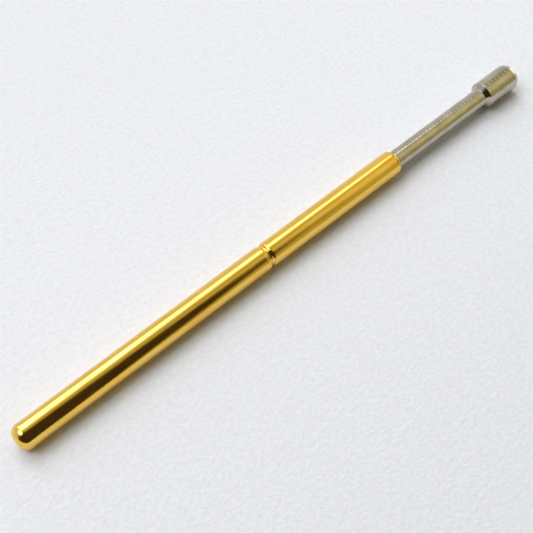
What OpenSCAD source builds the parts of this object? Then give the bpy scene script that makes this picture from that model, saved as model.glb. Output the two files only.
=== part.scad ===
// Spring-loaded contact pin, lying along X with its closed end towards -X and its tip towards +X.
// The origin is on the pin's axis, in the plane of the barrel's ring crimp. Lengths are in millimetres.

/* [Barrel] */
// Outer diameter of the drawn barrel
barrel_d = 1.36; // [1.30:0.01:1.50]
// Thickness of the barrel's wall
wall = 0.13; // [0.10:0.01:0.15]
// Length from the ring crimp back to the closed end
rear_length = 15.0; // [14.3:0.1:20]
// Length from the ring crimp forward to the mouth
front_length = 9.15; // [8.6:0.05:12]
// Outer radius of the domed closed end's corner
dome_r = 0.60; // [0.30:0.02:0.64]
// Outer radius of the lip that is rolled in at the mouth
lip_r = 0.25; // [0.20:0.01:0.30]

/* [Ring crimp] */
// Depth of the groove that the crimping roller leaves
crimp_depth = 0.14; // [0.12:0.01:0.17]
// Nose radius of the crimping roller
crimp_r = 0.13; // [0.10:0.01:0.16]
// Inner radius of the bends beside the groove
bend_r = 0.03; // [0.02:0.01:0.05]

/* [Plunger] */
// How far the plunger can be pressed in
travel = 6.35; // [4:0.05:6.6]
// Length of the plunger outside the barrel at rest
exposed_length = 9.20; // [9.1:0.05:12]
// Diameter of the head
head_d = 1.50; // [1.40:0.01:1.90]
// Length of the head, from the back of its rear chamfer to the tip
head_length = 2.45; // [1.60:0.05:2.65]
// Length along the axis of the chamfer at the back of the head
head_back_length = 0.22; // [0.10:0.02:0.40]
// Chamfer round the edge of the tip
tip_chamfer = 0.08; // [0.04:0.01:0.12]
// Width of the flat rim round the cup in the tip
rim_width = 0.10; // [0.06:0.01:0.20]
// Angle across the cup in the tip
cup_angle = 90; // [80:5:130]
// Length of the tail that runs behind the crimp
tail_length = 2.0; // [1.2:0.1:2.6]
// Length of the small cone on the tail that centres the spring
nose_length = 0.35; // [0.20:0.05:0.60]
// Chamfer on the inner shoulders of the guide and the tail
shoulder_chamfer = 0.05; // [0.02:0.01:0.07]

/* [Spring] */
// Diameter of the spring's wire
wire_d = 0.15; // [0.10:0.01:0.16]
// Number of coils, with the closed ones
coils = 34; // [24:1:36]
// Closed coils at each end
closed_coils = 2; // [1:1:3]

/* [Clearances] */
// Radial running clearance of the guide and the tail in the bore
running_gap = 0.04; // [0.03:0.01:0.06]
// Radial clearance of the stem in the rolled lip
lip_gap = 0.03; // [0.02:0.01:0.05]
// Radial clearance of the waist in the ring crimp
waist_gap = 0.05; // [0.03:0.01:0.08]
// Radial clearance of the spring in the bore
spring_gap = 0.05; // [0.04:0.01:0.08]
// Radial clearance of the small cone in the spring
nose_gap = 0.07; // [0.04:0.01:0.12]
// Gap that keeps pieces which bear on each other apart
seat_gap = 0.02; // [0.01:0.005:0.03]
// Gap left between the guide and the crimp when the plunger is fully in
overtravel = 0.10; // [0.05:0.05:0.20]

/* [Hidden] */
$fn = 64;
past = 1;                  // how far a cutting shape runs past what it cuts
wire_sides = 6;
steps_per_coil = 12;
closed_pitch = 1.04;       // pitch of the closed coils, in wire diameters
barrel_r = barrel_d / 2;
bore_r = barrel_r - wall;
guide_r = bore_r - running_gap;
head_r = head_d / 2;
wire_r = wire_d / 2;

// closed end and lip
dome_inner_r = dome_r - wall;
dome_x = dome_r - rear_length;
lip_bore_r = guide_r + lip_gap;
lip_turn = barrel_r - lip_bore_r;
lip_x = front_length - sqrt(2 * lip_r * lip_turn - pow(lip_turn, 2));

// ring crimp: the roller's arc and the two bends beside it touch, so their centres are this far apart
bend_reach = crimp_r + wall + bend_r;
crimp_centre_r = barrel_r - crimp_depth + crimp_r;
bend_centre_r = bore_r - bend_r;
bend_x = sqrt(2 * bend_reach * crimp_depth - pow(crimp_depth, 2));
crimp_bore_r = barrel_r - crimp_depth - wall;

// plunger stations along the axis; the stop is where a shoulder of the guide's radius meets the crimp
stop_x = sqrt(pow(crimp_r + wall, 2) - pow(crimp_centre_r - guide_r, 2));
waist_r = crimp_bore_r - waist_gap;
tail_front = -stop_x - seat_gap;
tail_back = tail_front - tail_length;
guide_back = travel + stop_x + overtravel;
tip_x = front_length + exposed_length;
head_back = tip_x - head_length;
cup_r = head_r - tip_chamfer - rim_width;
cup_depth = cup_r / tan(cup_angle / 2);

// spring: centre line radius, and the axial places of its first and last wire centres
coil_r = bore_r - spring_gap - wire_r;
dome_offset = max(0, coil_r - bore_r + dome_inner_r);
coil_start = dome_x - sqrt(pow(dome_inner_r - wire_r - seat_gap, 2) - pow(dome_offset, 2));
coil_end = tail_back - seat_gap - wire_r;
open_coils = coils - 2 * closed_coils - 1;
closed_step = closed_pitch * wire_d;
open_step = (coil_end - coil_start - 2 * closed_coils * closed_step) / open_coils;
nose_r = coil_r - wire_r - nose_gap;

// Turns a half section, drawn as [radius, place along the axis], about X
module turned() {
    rotate([0, 90, 0]) rotate_extrude() children();
}

// Half section of a rod whose back end has a rounded corner
module rod_half(radius, back, front, corner) {
    difference() {
        translate([0, back]) square([radius, front - back]);
        difference() {
            translate([radius - corner, back - past]) square([corner + past, corner + past]);
            translate([radius - corner, back + corner]) circle(corner);
        }
    }
}

// Takes the rolled lip's round corner, of the given radius about the lip's own centre, off the mouth
module lip_corner(radius) {
    difference() {
        translate([barrel_r - lip_r, lip_x]) square([lip_r + past, lip_r + past]);
        translate([barrel_r - lip_r, lip_x]) circle(radius);
    }
}

// Half section of what lies outside the sheet at the crimp: nose is the arc's radius, bend the bends'
module crimp_half(nose, bend) {
    translate([crimp_centre_r, 0]) circle(nose);
    for (side = [-1, 1])
        difference() {
            polygon([
                [bend_centre_r, side * bend_x],
                [crimp_centre_r, side * bend_x],
                [crimp_centre_r, 0]
            ]);
            translate([bend_centre_r, side * bend_x]) circle(bend);
        }
}

// Drawn tube with a domed closed end, a rolled-in ring crimp and a rolled-in lip
module barrel() {
    color("goldenrod") turned() difference() {
        rod_half(barrel_r, -rear_length, front_length, dome_r);
        lip_corner(lip_r);
        crimp_half(crimp_r, wall + bend_r);
        difference() {
            rod_half(bore_r, wall - rear_length, front_length + past, dome_inner_r);
            crimp_half(crimp_r + wall, bend_r);
            difference() {
                translate([lip_bore_r, lip_x]) square([lip_turn, lip_turn + past]);
                translate([barrel_r - lip_r, lip_x]) circle(lip_r - wall);
            }
        }
    }
}

// Turned in one piece: cupped head, stem and guide, waist for the crimp, and tail with its small cone
module plunger() {
    color("silver") turned() polygon([
        [0, tail_back - nose_length],
        [nose_r / 2, tail_back - nose_length],
        [nose_r, tail_back],
        [guide_r - shoulder_chamfer, tail_back],
        [guide_r, tail_back + shoulder_chamfer],
        [guide_r, tail_front - shoulder_chamfer],
        [guide_r - shoulder_chamfer, tail_front],
        [waist_r, tail_front],
        [waist_r, guide_back],
        [guide_r - shoulder_chamfer, guide_back],
        [guide_r, guide_back + shoulder_chamfer],
        [guide_r, head_back],
        [head_r, head_back + head_back_length],
        [head_r, tip_x - tip_chamfer],
        [head_r - tip_chamfer, tip_x],
        [cup_r, tip_x],
        [0, tip_x - cup_depth]
    ]);
}

// Place of the wire's centre along the axis after a number of turns: closed, then open, then closed coils
function coil_place(turn) =
    let (
        first = min(turn, closed_coils),
        middle = min(max(turn - closed_coils, 0), open_coils),
        last = max(turn - closed_coils - open_coils, 0)
    )
    coil_start + (first + last) * closed_step + middle * open_step;

// Compression spring with closed ends, swept as rings of points along its helix
module spring() {
    turns = open_coils + 2 * closed_coils;
    rings = turns * steps_per_coil;
    points = [
        for (i = [0:rings], k = [0:wire_sides - 1])
            let (
                about = 360 * i / steps_per_coil,
                round_wire = 360 * (k + 0.5) / wire_sides,
                r = coil_r + wire_r * cos(round_wire)
            )
            [coil_place(i / steps_per_coil) + wire_r * sin(round_wire), r * cos(about), r * sin(about)]
    ];
    sides = [
        for (i = [0:rings - 1], k = [0:wire_sides - 1])
            let (
                a = i * wire_sides + k,
                b = i * wire_sides + (k + 1) % wire_sides
            )
            [a, b, b + wire_sides, a + wire_sides]
    ];
    back_end = [for (k = [wire_sides - 1:-1:0]) k];
    front_end = [for (k = [0:wire_sides - 1]) rings * wire_sides + k];
    color("gray") polyhedron(points, concat(sides, [back_end, front_end]));
}

barrel();
spring();
plunger();
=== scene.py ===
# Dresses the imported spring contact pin: gold barrel, nickel plunger and steel spring, laid on pale paper.
import math
import bpy
import numpy as np
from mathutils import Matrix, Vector


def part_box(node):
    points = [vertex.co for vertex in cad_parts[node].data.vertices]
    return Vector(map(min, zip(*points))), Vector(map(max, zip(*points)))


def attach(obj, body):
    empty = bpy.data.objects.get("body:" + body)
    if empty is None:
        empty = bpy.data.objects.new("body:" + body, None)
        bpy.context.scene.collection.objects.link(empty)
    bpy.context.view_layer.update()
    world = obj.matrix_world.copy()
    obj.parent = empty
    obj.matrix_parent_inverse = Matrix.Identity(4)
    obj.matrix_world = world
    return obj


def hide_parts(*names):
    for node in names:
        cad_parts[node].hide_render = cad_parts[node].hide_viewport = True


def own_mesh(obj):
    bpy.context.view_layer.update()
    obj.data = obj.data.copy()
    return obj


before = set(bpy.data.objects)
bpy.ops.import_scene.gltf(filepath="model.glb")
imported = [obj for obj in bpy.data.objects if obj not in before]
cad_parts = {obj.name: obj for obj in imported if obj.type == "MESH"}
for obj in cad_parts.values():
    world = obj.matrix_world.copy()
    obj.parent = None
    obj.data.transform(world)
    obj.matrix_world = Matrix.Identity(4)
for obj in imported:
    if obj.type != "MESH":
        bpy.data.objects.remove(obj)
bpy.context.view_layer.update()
mm = 0.001
fullTurn = 2 * math.pi


# A circle's arc in the half section: place = centre + radius * (cos, sin),
# with its angles in degrees from +X towards the outside
def arcPoints(centreX, centreR, radius, startAngle, endAngle, count):
    angle = np.radians(np.linspace(startAngle, endAngle, count))
    return np.stack([centreX + radius * np.cos(angle), centreR + radius * np.sin(angle)], axis=1)


# A straight run of the half section, cut into steps: place = start * (1 - share) + end * share.
# Its two ends are left out because the arcs beside it have them.
def runPoints(start, end, step):
    count = max(2, int(math.dist(start, end) / step) + 1)
    share = np.linspace(0, 1, count + 1)[1:-1, None]
    return np.array(start) * (1 - share) + np.array(end) * share


# Rounds each inner corner of an open outline with an arc that touches both sides:
# setback from the corner = radius / tan(half the corner's angle)
def roundedOutline(corners, radii, step, arcSteps):
    corners = np.array(corners, float)
    pieces = [corners[:1]]
    for before, here, after, radius in zip(corners[:-2], corners[1:-1], corners[2:], radii):
        inward = (before - here) / np.linalg.norm(before - here)
        onward = (after - here) / np.linalg.norm(after - here)
        half = math.acos(np.clip(inward @ onward, -1, 1)) / 2
        setback = radius / math.tan(half)
        centre = here + (inward + onward) / np.linalg.norm(inward + onward) * radius / math.sin(half)
        first, last = here + inward * setback - centre, here + onward * setback - centre
        opening = math.acos(np.clip(first @ last / radius ** 2, -1, 1))
        share = np.linspace(0, 1, arcSteps)[:, None]
        blend = np.sin((1 - share) * opening) * first + np.sin(share * opening) * last
        arc = centre + blend / math.sin(opening)
        pieces += [runPoints(pieces[-1][-1], arc[0], step), arc]
    pieces += [runPoints(pieces[-1][-1], corners[-1], step), corners[-1:]]
    return np.concatenate(pieces)


# Puts a grid of points into a mesh: point number = row * points in a row + place round it.
# Rows are joined round, and each end row closes on a pole point of its own.
def gridMesh(name, rows, firstPole, lastPole):
    rowCount, aroundCount = rows.shape[:2]
    points = np.concatenate([rows.reshape(-1, 3), [firstPole, lastPole]])
    row, around = np.meshgrid(np.arange(rowCount - 1), np.arange(aroundCount), indexing="ij")
    nextAround = (around + 1) % aroundCount
    quads = np.stack([
        row * aroundCount + around,
        row * aroundCount + nextAround,
        (row + 1) * aroundCount + nextAround,
        (row + 1) * aroundCount + around,
    ], axis=-1).reshape(-1, 4)
    spoke = np.arange(aroundCount)
    nextSpoke = (spoke + 1) % aroundCount
    lastRow = (rowCount - 1) * aroundCount
    firstFan = np.stack([nextSpoke, spoke, np.full(aroundCount, len(points) - 2)], axis=1)
    lastFan = np.stack([lastRow + spoke, lastRow + nextSpoke, np.full(aroundCount, len(points) - 1)], axis=1)
    mesh = bpy.data.meshes.new(name)
    mesh.from_pydata(points.tolist(), [], quads.tolist() + firstFan.tolist() + lastFan.tolist())
    mesh.polygons.foreach_set("use_smooth", np.ones(len(mesh.polygons), bool))
    mesh.update()
    piece = bpy.data.objects.new(name, mesh)
    bpy.context.scene.collection.objects.link(piece)
    return piece


# A half section turned about X: point = (x, r cos angle, r sin angle), with r = the outline's radius + ripple.
# The outline's first and last points lie on the axis and become the poles.
def turnedPiece(name, outline, segments, ripple):
    angle = np.linspace(0, fullTurn, segments, endpoint=False)[None, :]
    x, radius = outline[1:-1, :1], outline[1:-1, 1:]
    radius = radius + ripple(x, radius, angle)
    rows = np.stack([x + 0 * angle, radius * np.cos(angle), radius * np.sin(angle)], axis=-1)
    first, last = outline[0], outline[-1]
    return gridMesh(name, rows * mm, np.array([first[0], 0, 0]) * mm, np.array([last[0], 0, 0]) * mm)


# Starts a material: a Principled surface, and the node that gives the piece's Object coordinates
def startMaterial(name, metallic):
    material = bpy.data.materials.new(name)
    material.use_nodes = True
    nodes, links = material.node_tree.nodes, material.node_tree.links
    surface = nodes["Principled BSDF"]
    surface.inputs["Metallic"].default_value = metallic
    place = nodes.new("ShaderNodeTexCoord")
    return material, nodes, links, surface, place


# A noise pattern whose grain is stretched: scale is how many grains fit a metre along each axis
def stretchedNoise(nodes, links, place, scale, detail):
    mapping = nodes.new("ShaderNodeMapping")
    mapping.inputs["Scale"].default_value = scale
    noise = nodes.new("ShaderNodeTexNoise")
    noise.inputs["Scale"].default_value = 1
    noise.inputs["Detail"].default_value = detail
    links.new(place.outputs["Object"], mapping.inputs["Vector"])
    links.new(mapping.outputs["Vector"], noise.inputs["Vector"])
    return noise.outputs["Fac"]


# Spreads a pattern between two plain values: low up to lowAt, high from highAt, a straight line between
def spread(nodes, links, pattern, low, high, lowAt=0.3, highAt=0.7):
    ranged = nodes.new("ShaderNodeMapRange")
    ranged.inputs["From Min"].default_value = lowAt
    ranged.inputs["From Max"].default_value = highAt
    ranged.inputs["To Min"].default_value = low
    ranged.inputs["To Max"].default_value = high
    links.new(pattern, ranged.inputs["Value"])
    return ranged.outputs["Result"]


# Turns a pattern into colours: each stop is a place from 0 to 1 and its colour, blended straight between
def colourRamp(nodes, links, pattern, stops):
    ramp = nodes.new("ShaderNodeValToRGB")
    while len(ramp.color_ramp.elements) < len(stops):
        ramp.color_ramp.elements.new(0.5)
    for element, (position, colour) in zip(ramp.color_ramp.elements, stops):
        element.position = position
        element.color = (*colour, 1)
    links.new(pattern, ramp.inputs["Fac"])
    return ramp.outputs["Color"]


# Raises the surface: height = pattern * distance in metres, on top of an earlier raised normal
def raisedBy(nodes, links, pattern, distance, earlier=None):
    bump = nodes.new("ShaderNodeBump")
    bump.inputs["Distance"].default_value = distance
    links.new(pattern, bump.inputs["Height"])
    if earlier:
        links.new(earlier, bump.inputs["Normal"])
    return bump.outputs["Normal"]


# In every look, tones are a place in the cloud from 0 to 1 and its colour,
# and a noise is its grains to a metre along each axis and its levels of detail.
goldLook = {
    "tones": ((0.30, (0.87, 0.51, 0.09)), (0.52, (0.90, 0.585, 0.11)), (0.72, (0.92, 0.62, 0.14))),
    "roughness": (0.10, 0.16),
    "cloud": ((600, 2600, 2600), 4),
    "smear": ((700, 5000, 5000), 3),
    "lines": ((500, 30000, 30000), 3),
    "dimples": ((3500, 5000, 5000), 2),
    "lineHeight": 0.7e-6,        # fine lines that drawing leaves along the tube, metres
    "dimpleHeight": 1.2e-6,      # the plating's faint unevenness, metres
}


# Gold plate: tone = cloud, roughness = smear along the tube, normal = drawn lines with dimples over them
def makeGoldPlate():
    look = goldLook
    material, nodes, links, surface, place = startMaterial("goldPlate", metallic=1)
    cloud = stretchedNoise(nodes, links, place, *look["cloud"])
    links.new(colourRamp(nodes, links, cloud, look["tones"]), surface.inputs["Base Color"])
    smear = stretchedNoise(nodes, links, place, *look["smear"])
    links.new(spread(nodes, links, smear, *look["roughness"]), surface.inputs["Roughness"])
    lines = stretchedNoise(nodes, links, place, *look["lines"])
    dimples = stretchedNoise(nodes, links, place, *look["dimples"])
    normal = raisedBy(nodes, links, lines, look["lineHeight"])
    normal = raisedBy(nodes, links, dimples, look["dimpleHeight"], normal)
    links.new(normal, surface.inputs["Normal"])
    return material


nickelLook = {
    "tones": ((0.30, (0.41, 0.37, 0.29)), (0.50, (0.48, 0.44, 0.35)), (0.72, (0.54, 0.50, 0.41))),
    "roughness": (0.06, 0.12),
    "cloud": ((1400, 1800, 1800), 4),
    "bands": ((9000, 300, 300), 3),
    "rings": ((22000, 400, 400), 4),
    "ringHeight": 2.2e-6,        # fine rings that turning leaves, metres
}


# Nickel plate: tone = cloud, roughness = bands round the rod, normal = fine turned rings
def makeNickelPlate():
    look = nickelLook
    material, nodes, links, surface, place = startMaterial("nickelPlate", metallic=1)
    cloud = stretchedNoise(nodes, links, place, *look["cloud"])
    links.new(colourRamp(nodes, links, cloud, look["tones"]), surface.inputs["Base Color"])
    bands = stretchedNoise(nodes, links, place, *look["bands"])
    links.new(spread(nodes, links, bands, *look["roughness"]), surface.inputs["Roughness"])
    rings = stretchedNoise(nodes, links, place, *look["rings"])
    links.new(raisedBy(nodes, links, rings, look["ringHeight"]), surface.inputs["Normal"])
    return material


springLook = {
    "tones": ((0.30, (0.36, 0.36, 0.37)), (0.65, (0.55, 0.55, 0.56))),
    "roughness": (0.25, 0.40),
    "cloud": ((5000, 2500, 2500), 3),
    "lines": ((40000, 4000, 4000), 2),
    "lineHeight": 0.5e-6,        # marks that drawing leaves on the wire, metres
}


# Spring wire: tone and roughness = the same cloud, normal = drawn marks
def makeSpringWire():
    look = springLook
    material, nodes, links, surface, place = startMaterial("springWire", metallic=1)
    cloud = stretchedNoise(nodes, links, place, *look["cloud"])
    links.new(colourRamp(nodes, links, cloud, look["tones"]), surface.inputs["Base Color"])
    links.new(spread(nodes, links, cloud, *look["roughness"]), surface.inputs["Roughness"])
    lines = stretchedNoise(nodes, links, place, *look["lines"])
    links.new(raisedBy(nodes, links, lines, look["lineHeight"]), surface.inputs["Normal"])
    return material


paperLook = {
    "tones": ((0.35, (0.87, 0.88, 0.915)), (0.65, (0.925, 0.935, 0.97))),
    "roughness": 0.9,
    "paintedShadeFallOff": (0.90, -0.016, 0.002),    # painted shade: share of the tone left where it is darkest, then where along Y it is darkest and where it is full
    "cloud": ((4200, 4200, 4200), 4),
    "grain": ((5500, 5500, 5500), 4),
    "grainHeight": 34e-6,        # the paper's grain, metres
}


# Paper: tone = cloud * painted shade along Y (the paper darker towards -Y), normal = grain
def makePaper():
    look = paperLook
    material, nodes, links, surface, place = startMaterial("paper", metallic=0)
    surface.inputs["Roughness"].default_value = look["roughness"]
    cloud = stretchedNoise(nodes, links, place, *look["cloud"])
    tone = colourRamp(nodes, links, cloud, look["tones"])
    apart = nodes.new("ShaderNodeSeparateXYZ")
    links.new(place.outputs["Object"], apart.inputs["Vector"])
    # painted shade: the paper's colour is darkened towards -Y, down to the share left
    lowest, paintedShadeDarkestAt, fullAt = look["paintedShadeFallOff"]
    paintedShadeShare = spread(nodes, links, apart.outputs["Y"], lowest, 1, paintedShadeDarkestAt, fullAt)
    shaded = nodes.new("ShaderNodeVectorMath")
    shaded.operation = "SCALE"
    links.new(tone, shaded.inputs[0])
    links.new(paintedShadeShare, shaded.inputs["Scale"])
    links.new(shaded.outputs["Vector"], surface.inputs["Base Color"])
    grain = stretchedNoise(nodes, links, place, *look["grain"])
    links.new(raisedBy(nodes, links, grain, look["grainHeight"]), surface.inputs["Normal"])
    return material


barrelSizes = {
    "wall": 0.13,                # thickness of the tube, mm like the rest
    "domeRadius": 0.48,
    "crimpDepth": 0.10,
    "crimpRadius": 0.10,
    "bendRadius": 0.02,
    "lipRadius": 0.25,
    "lipBore": 0.54,
    "lipEdge": 0.02,
    "waviness": 0.0004,          # how far the drawn wall departs from a true cylinder
    "swells": (2.1, 1.3),        # radians to a millimetre of the swells along the wall and of those round it
    "lobes": 3,                  # swells round the wall
    "plainRadius": 0.5,          # nearer the axis than this there are no swells
    "step": 0.12,
    "segments": 144,
    "domeSteps": 40,
    "innerDomeSteps": 16,
    "grooveSteps": 25,
    "bendSteps": 9,
    "lipSteps": 18,
    "innerLipSteps": 6,
    "lipEdgeSteps": 8,
}


# Half section of the tube, outside then inside: domed end, rolled groove and mouth rolled in to its edge.
# The groove's arc and the bend on each side touch, so their centres lie
# sqrt(2 * reach * depth - depth squared) apart along X, where reach = both radii and the wall.
def barrelOutline(size, backX, frontX, outerR):
    wall, domeR, lipR = size["wall"], size["domeRadius"], size["lipRadius"]
    boreR, domeX, domeCentreR = outerR - wall, backX + domeR, outerR - domeR
    reach = size["crimpRadius"] + wall + size["bendRadius"]
    bendX = math.sqrt(2 * reach * size["crimpDepth"] - size["crimpDepth"] ** 2)
    grooveR, bendCentreR = outerR - size["crimpDepth"] + size["crimpRadius"], boreR - size["bendRadius"]
    lean = math.degrees(math.atan2(grooveR - bendCentreR, bendX))
    lipTurn = outerR - size["lipBore"]
    lipX, lipCentreR = frontX - math.sqrt(2 * lipR * lipTurn - lipTurn ** 2), outerR - lipR
    edgeR = size["lipEdge"]
    lipStop = math.degrees(math.asin((size["lipBore"] + edgeR - lipCentreR) / (lipR - edgeR)))
    edgeX = lipX + (lipR - edgeR) * math.cos(math.radians(lipStop))
    innerLipR = lipR - wall

    # One side of the wall through the groove: bend, groove, bend, with the radii that side has
    def crimpPoints(bendArc, grooveArc):
        return [
            arcPoints(-bendX, bendCentreR, bendArc, 90, lean, size["bendSteps"]),
            arcPoints(0, grooveR, grooveArc, 180 + lean, 360 - lean, size["grooveSteps"])[1:-1],
            arcPoints(bendX, bendCentreR, bendArc, 180 - lean, 90, size["bendSteps"]),
        ]

    step = size["step"]
    outside = [
        np.array([[backX, 0], [backX, domeCentreR / 2]]),
        arcPoints(domeX, domeCentreR, domeR, 180, 90, size["domeSteps"]),
        runPoints((domeX, outerR), (-bendX, outerR), step),
        *crimpPoints(wall + size["bendRadius"], size["crimpRadius"]),
        runPoints((bendX, outerR), (lipX, outerR), step),
        arcPoints(lipX, lipCentreR, lipR, 90, lipStop, size["lipSteps"]),
        arcPoints(edgeX, size["lipBore"] + edgeR, edgeR, lipStop, -90, size["lipEdgeSteps"])[1:],
    ]
    innerCrimp = [part[::-1] for part in crimpPoints(size["bendRadius"], size["crimpRadius"] + wall)[::-1]]
    innerStart = math.degrees(math.asin((size["lipBore"] - lipCentreR) / innerLipR))
    inside = [
        arcPoints(lipX, lipCentreR, innerLipR, innerStart, 90, size["innerLipSteps"]),
        runPoints((lipX, boreR), (bendX, boreR), step),
        *innerCrimp,
        runPoints((-bendX, boreR), (domeX, boreR), step),
        arcPoints(domeX, domeCentreR, domeR - wall, 90, 180, size["innerDomeSteps"]),
        np.array([[backX + wall, domeCentreR / 2], [backX + wall, 0]]),
    ]
    return np.concatenate(outside + inside)


# The drawn tube: its half section turned about X
def makeBarrel():
    low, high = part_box("barrel")
    size = barrelSizes
    outline = barrelOutline(size, low.x / mm, high.x / mm, high.z / mm)

    # Slow swells: ripple = waviness * half of (sine along the wall + sine round and along it)
    def ripple(x, radius, angle):
        alongPace, roundPace = size["swells"]
        swell = np.sin(alongPace * x) * 0.5 + np.sin(size["lobes"] * angle + roundPace * x) * 0.5
        return size["waviness"] * swell * (radius > size["plainRadius"])

    piece = turnedPiece("barrelTube", outline, size["segments"], ripple)
    piece.data.materials.append(makeGoldPlate())
    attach(piece, "barrel")
    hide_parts("barrel")
    print("barrel made:", len(piece.data.polygons), "faces")


plungerSizes = {
    "guideRadius": 0.51,
    "waistRadius": 0.36,
    "waistBack": -0.2249,
    "guideBack": 6.6549,
    "tailBack": -2.2249,
    "noseRadius": 0.28,
    "shoulder": 0.05,
    "headBack": 15.90,
    "headChamfer": 0.22,
    "tipChamfer": 0.08,          # radial, and its length along the axis
    "tipChamferLength": 0.20,
    "cupRadius": 0.57,
    "cupDepth": 0.57,
    "edge": 0.02,                # radius that turning and plating leave on an edge
    "ringDepth": 0.0010,         # turned rings: how deep, and how many to a millimetre
    "ringsPerMm": 3.7,
    "ringSet": ((1, 1, 0), (0.5, 2.3, 1), (0.35, 0.37, 2)),     # share of the depth, share of the number, phase
    "plainRadius": 0.3,          # nearer the axis than this there are no rings
    "step": 0.045,
    "segments": 120,
    "edgeSteps": 7,
}


# Half section of the turned piece: nose, tail, waist, guide and stem, head with its cup
def plungerOutline(size, backX, tipX, headR):
    guideR, shoulder, waistR = size["guideRadius"], size["shoulder"], size["waistRadius"]
    corners = [
        (backX, 0),
        (backX, size["noseRadius"] / 2),
        (size["tailBack"], size["noseRadius"]),
        (size["tailBack"], guideR - shoulder),
        (size["tailBack"] + shoulder, guideR),
        (size["waistBack"] - shoulder, guideR),
        (size["waistBack"], guideR - shoulder),
        (size["waistBack"], waistR),
        (size["guideBack"], waistR),
        (size["guideBack"], guideR - shoulder),
        (size["guideBack"] + shoulder, guideR),
        (size["headBack"], guideR),
        (size["headBack"] + size["headChamfer"], headR),
        (tipX - size["tipChamferLength"], headR),
        (tipX, headR - size["tipChamfer"]),
        (tipX, size["cupRadius"]),
        (tipX - size["cupDepth"], 0),
    ]
    return roundedOutline(corners, [size["edge"]] * (len(corners) - 2), size["step"], size["edgeSteps"])


# The turned plunger: its half section turned about X
def makePlunger():
    low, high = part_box("plunger")
    size = plungerSizes
    outline = plungerOutline(size, low.x / mm, high.x / mm, high.z / mm)

    # Turned rings: ripple = depth * sum of share * sine along x, the same all the way round
    def ripple(x, radius, angle):
        pitch = fullTurn * size["ringsPerMm"]
        rings = sum(share * np.sin(pace * pitch * x + phase) for share, pace, phase in size["ringSet"])
        return size["ringDepth"] * rings * (radius > size["plainRadius"]) + 0 * angle

    piece = turnedPiece("plungerRod", outline, size["segments"], ripple)
    piece.data.materials.append(makeNickelPlate())
    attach(piece, "plunger")
    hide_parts("plunger")
    print("plunger made:", len(piece.data.polygons), "faces")


springSizes = {
    "wireRadius": 0.075,
    "coils": 34,
    "closedCoils": 2,
    "closedPitch": 0.156,
    "stepsPerCoil": 30,
    "wireSides": 10,
}


# Wire wound on a helix: centre = (place(turn), coilR cos, coilR sin), with closed coils at both ends.
# Each ring of the wire's surface lies in a plane through the axis.
def makeSpring():
    low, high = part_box("spring")
    size = springSizes
    wireR = size["wireRadius"]
    coilR = high.z / mm - wireR
    startX, endX = low.x / mm + wireR, high.x / mm - wireR
    turns = size["coils"] - 1
    openTurns = turns - 2 * size["closedCoils"]
    openPitch = (endX - startX - 2 * size["closedCoils"] * size["closedPitch"]) / openTurns
    turn = np.linspace(0, turns, turns * size["stepsPerCoil"] + 1)[:, None]
    openPart = np.clip(turn - size["closedCoils"], 0, openTurns)
    place = startX + (turn - openPart) * size["closedPitch"] + openPart * openPitch
    about = np.linspace(0, fullTurn, size["wireSides"], endpoint=False)[None, :]
    radius = coilR + wireR * np.cos(about)
    rows = np.stack([
        place - wireR * np.sin(about),
        radius * np.cos(fullTurn * turn),
        radius * np.sin(fullTurn * turn),
    ], axis=-1)
    piece = gridMesh("springCoil", rows * mm, rows[0].mean(axis=0) * mm, rows[-1].mean(axis=0) * mm)
    piece.data.materials.append(makeSpringWire())
    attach(piece, "barrel")
    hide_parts("spring")
    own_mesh(piece)
    print("spring made:", len(piece.data.polygons), "faces")


studio = {
    "floorHalfSide": 0.6,
    "cameraAzimuth": -42.16,     # degrees; 0 looks along +Y
    "cameraElevation": 55.86,
    "cameraDistance": 0.05437,
    "cameraTarget": (-0.00034, -0.00047, 0),
    "lens": 74.3,
    "sensorWidth": 36,
    "clipStart": 0.001,
    "worldLevel": 1.0,
}


# Paper that the pin lies on, touching the closed end's wall and the head: z = -barrel radius + slope * distance
# from the closed end, where slope = difference between the two radii / length
def makeFloor():
    barrelLow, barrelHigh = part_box("barrel")
    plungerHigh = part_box("plunger")[1]
    slope = (barrelHigh.z - plungerHigh.z) / (plungerHigh.x - barrelLow.x)
    side = studio["floorHalfSide"]
    x, y = np.meshgrid([-side, side], [-side, side], indexing="xy")
    z = -barrelHigh.z + slope * (x - barrelLow.x)
    points = np.stack([x, y, z], axis=-1).reshape(-1, 3)
    mesh = bpy.data.meshes.new("paperFloor")
    mesh.from_pydata(points.tolist(), [], [(0, 1, 3, 2)])
    floor = bpy.data.objects.new("paperFloor", mesh)
    bpy.context.scene.collection.objects.link(floor)
    floor.data.materials.append(makePaper())


# Camera: place = target - ahead * distance,
# where ahead = (-sin azimuth cos elevation, cos azimuth cos elevation, -sin elevation)
def makeCamera():
    azimuth, elevation = math.radians(studio["cameraAzimuth"]), math.radians(studio["cameraElevation"])
    ahead = Vector((-math.sin(azimuth) * math.cos(elevation), math.cos(azimuth) * math.cos(elevation),
                    -math.sin(elevation)))
    camera = bpy.data.objects.new("camera", bpy.data.cameras.new("camera"))
    camera.data.lens = studio["lens"]
    camera.data.sensor_width = studio["sensorWidth"]
    camera.data.clip_start = studio["clipStart"]
    camera.location = Vector(studio["cameraTarget"]) - ahead * studio["cameraDistance"]
    camera.rotation_euler = ahead.to_track_quat("-Z", "Y").to_euler()
    bpy.context.scene.collection.objects.link(camera)
    bpy.context.scene.camera = camera


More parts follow.
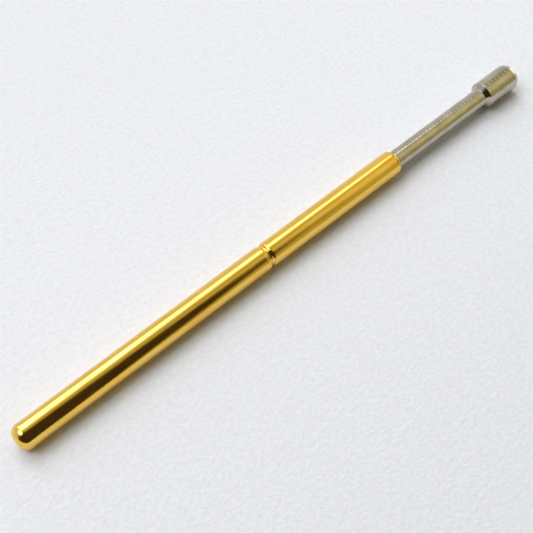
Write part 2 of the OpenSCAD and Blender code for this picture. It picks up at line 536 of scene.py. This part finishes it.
skyLook = {
    "nearTone": (0.50, 0.46, 0.22),       # the room on the camera's side, warm
    "farTone": (0.80, 0.80, 0.80),        # the pale wall behind the pin
    "farReach": (0.10, 0.75),             # where along +Y the one turns into the other
    "glowTone": (0.92, 0.83, 0.48),       # lit part of the room past the tip
    "glowCentre": (0.70, -0.28, 0.66),
    "glowReach": (32, 6),                 # degrees from its centre where a patch starts and where it is full
    "darkTone": (0.045, 0.032, 0.018),    # the camera and whoever holds it
    "darkCentre": (-0.55, -0.62, 0.56),
    "darkReach": (62, 54),
    "rearTone": (0.70, 0.70, 0.78),       # pale wall past the closed end
    "rearCentre": (-0.55, 0.80, 0.20),
    "rearReach": (60, 20),
    "ceilingTone": (4.0, 4.2, 4.6),       # ceiling light that carries the window on behind the closed end
    "ceilingCentre": (-0.40, 0.28, 0.88),
    "ceilingReach": (24, 13),
    "ceilingBack": (0.02, 0.25),          # where along -X it starts and is full
    "farEndTone": (0.08, 0.08, 0.07),     # dull low part of the room past the tip
    "farEndCentre": (0.93, -0.30, 0.22),
    "farEndReach": (32, 20),
    "horizonTone": (2.2, 2.2, 2.2),       # bright strip low down past the tip
    "horizonCentre": (0.99, 0.05, 0.08),
    "horizonReach": (22, 8),
    "cornerTone": (0.34, 0.30, 0.19),     # dull corner past the window's narrow end
    "cornerCentre": (0.72, 0.24, 0.65),
    "cornerReach": (18, 7),
    "windowLow": (0, 0.9135, -0.4067),    # the window's long edges, as planes that meet past the tip
    "windowHigh": (0.725, 0.230, -0.648),
    "windowBack": (0.15, -0.05),          # where along -X it ends and is full
    "haloTone": (1.15, 1.15, 1.15),       # the soft frame of light round the window
    "haloLow": (-0.30, -0.02),            # where across each edge the light starts and is full
    "haloHigh": (0.10, -0.08),
    "paneTone": (4.1, 4.1, 4.3),          # and its bright middle
    "paneLow": (-0.035, 0.09),
    "paneHigh": (0.035, -0.09),
}


# The room's light: tones laid over each other in turn, each by its share of the direction looked in.
# A patch's share = smooth step of the cosine to its centre.
# The window's share = product of the steps across both its edges and at its back.
def makeWorld():
    look = skyLook
    world = bpy.data.worlds.new("studio")
    bpy.context.scene.world = world
    world.use_nodes = True
    nodes, links = world.node_tree.nodes, world.node_tree.links
    direction = nodes.new("ShaderNodeTexCoord").outputs["Generated"]

    # How far a direction reaches along another one: their dot product
    def along(other):
        product = nodes.new("ShaderNodeVectorMath")
        product.operation = "DOT_PRODUCT"
        links.new(direction, product.inputs[0])
        product.inputs[1].default_value = Vector(other).normalized()
        return product.outputs["Value"]

    # Smooth step of a value from 0 at one place to 1 at another
    def step(value, start, end):
        ranged = nodes.new("ShaderNodeMapRange")
        ranged.interpolation_type = "SMOOTHSTEP"
        ranged.inputs["From Min"].default_value = start
        ranged.inputs["From Max"].default_value = end
        links.new(value, ranged.inputs["Value"])
        return ranged.outputs["Result"]

    # Mixes two colours, each a socket or a plain value: result = first * (1 - share) + second * share.
    # In a mix node the colours are inputs 6 and 7, and the mixed colour is output 2.
    def mixed(share, first, second):
        mix = nodes.new("ShaderNodeMix")
        mix.data_type = "RGBA"
        links.new(share, mix.inputs["Factor"])
        for socket, value in ((mix.inputs[6], first), (mix.inputs[7], second)):
            if isinstance(value, tuple):
                socket.default_value = (*value, 1)
            else:
                links.new(value, socket)
        return mix.outputs[2]

    # The product of two shares
    def times(first, second):
        product = nodes.new("ShaderNodeMath")
        product.operation = "MULTIPLY"
        links.new(first, product.inputs[0])
        links.new(second, product.inputs[1])
        return product.outputs["Value"]

    # A round patch's share: 0 beyond the first angle of its reach, 1 within the second
    def patch(name):
        reach = [math.cos(math.radians(angle)) for angle in look[name + "Reach"]]
        return step(along(look[name + "Centre"]), *reach)

    sky = mixed(step(along((0, 1, 0)), *look["farReach"]), look["nearTone"], look["farTone"])
    sky = mixed(patch("glow"), sky, look["glowTone"])
    sky = mixed(patch("corner"), sky, look["cornerTone"])
    sky = mixed(patch("dark"), sky, look["darkTone"])
    sky = mixed(patch("rear"), sky, look["rearTone"])
    overhead = times(patch("ceiling"), step(along((-1, 0, 0)), *look["ceilingBack"]))
    sky = mixed(overhead, sky, look["ceilingTone"])
    sky = mixed(patch("farEnd"), sky, look["farEndTone"])
    sky = mixed(patch("horizon"), sky, look["horizonTone"])
    back = step(along((-1, 0, 0)), *look["windowBack"])
    for part in ("halo", "pane"):
        low = step(along(look["windowLow"]), *look[part + "Low"])
        high = step(along(look["windowHigh"]), *look[part + "High"])
        sky = mixed(times(times(low, high), back), sky, look[part + "Tone"])
    links.new(sky, nodes["Background"].inputs["Color"])
    nodes["Background"].inputs["Strength"].default_value = studio["worldLevel"]


makeBarrel()
makePlunger()
makeSpring()
makeFloor()
makeCamera()
makeWorld()
bpy.context.scene.view_settings.view_transform = "Standard"
print("studio made")
